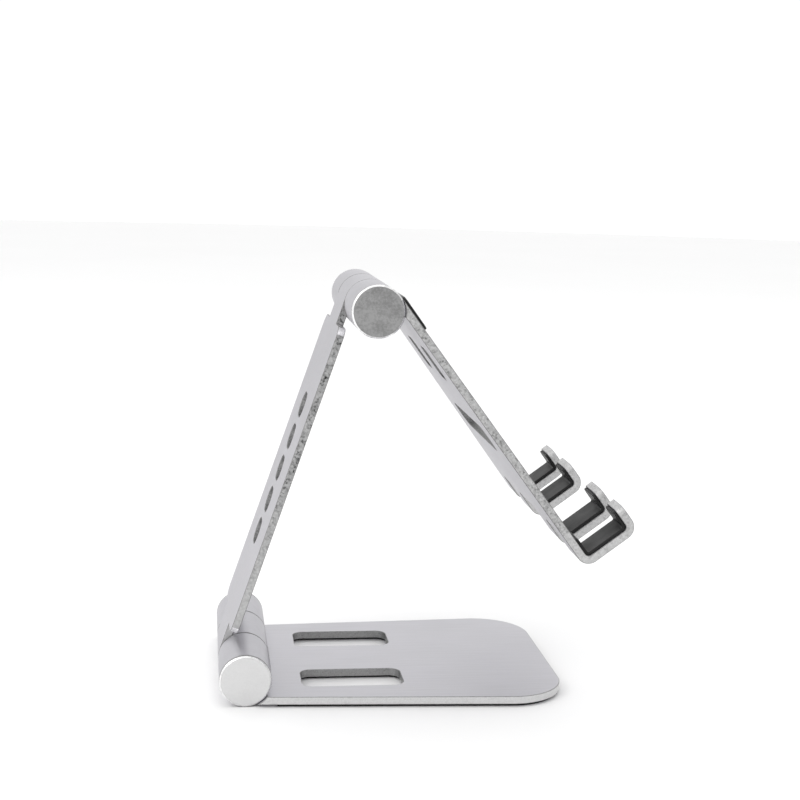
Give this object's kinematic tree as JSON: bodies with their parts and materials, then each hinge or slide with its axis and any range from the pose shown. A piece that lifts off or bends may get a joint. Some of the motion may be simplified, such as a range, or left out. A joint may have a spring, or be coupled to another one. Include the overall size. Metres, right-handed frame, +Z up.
{
  "type": "tablet stand",
  "caption": "Folding tablet stand in silver aluminium: a flat base with two slots, an arm and a tilting holder whose padded fingers form a ledge, joined by two friction hinges.",
  "frame": {"origin": "middle of the rubber mat's underside, on the surface that the stand rests on, halfway between the lower hinge axis and the free end of the base", "axes": "+X from the lower hinge towards the free end of the base and the side the tablet's screen faces, +Y along both hinge axes, +Z up"},
  "size_m": [0.1283, 0.106, 0.1354],
  "materials": {
    "anodised_aluminium": "fine bead-blasted silver anodising with brighter, coarser cut edges",
    "cap_aluminium": "turned satin face with a bright chamfer",
    "hinge_steel": "machined steel, lightly oiled",
    "spring_steel": "hardened spring steel",
    "bush_bronze": "sintered bronze",
    "washer_polymer": "dark low-wear polymer",
    "pad_silicone": "matt black silicone",
    "mat_rubber": "matt black rubber, fine texture"
  },
  "bodies": {
    "base": {"base_plate": "anodised_aluminium", "base_mat": "mat_rubber", "lower_shaft": "hinge_steel", "lower_washer_left": "washer_polymer", "lower_washer_right": "washer_polymer", "lower_thrust_washer": "hinge_steel", "lower_spring_stack": "spring_steel", "lower_lock_nut": "hinge_steel", "lower_cap_left": "cap_aluminium", "lower_cap_right": "cap_aluminium"},
    "arm": {"arm_plate": "anodised_aluminium", "lower_bush_left": "bush_bronze", "lower_bush_right": "bush_bronze", "upper_bush_left": "bush_bronze", "upper_bush_right": "bush_bronze"},
    "holder": {"holder_plate": "anodised_aluminium", "upper_shaft": "hinge_steel", "upper_washer_left": "washer_polymer", "upper_washer_right": "washer_polymer", "upper_thrust_washer": "hinge_steel", "upper_spring_stack": "spring_steel", "upper_lock_nut": "hinge_steel", "upper_cap_left": "cap_aluminium", "upper_cap_right": "cap_aluminium", "top_pad_left": "pad_silicone", "top_pad_right": "pad_silicone", "finger_pad_1": "pad_silicone", "finger_pad_2": "pad_silicone", "finger_pad_3": "pad_silicone", "finger_pad_4": "pad_silicone"}
  },
  "joints": [
    {"name": "arm_tilt", "type": "hinge", "parent": "base", "child": "arm", "pos_m": [-0.0525, 0, 0.0085], "axis": [0, -1, 0], "range_deg": [-60, 40]},
    {"name": "holder_tilt", "type": "hinge", "parent": "arm", "child": "holder", "pos_m": [-0.01263, 0, 0.12697], "axis": [0, -1, 0], "range_deg": [-54.6, 124.9]}
  ]
}
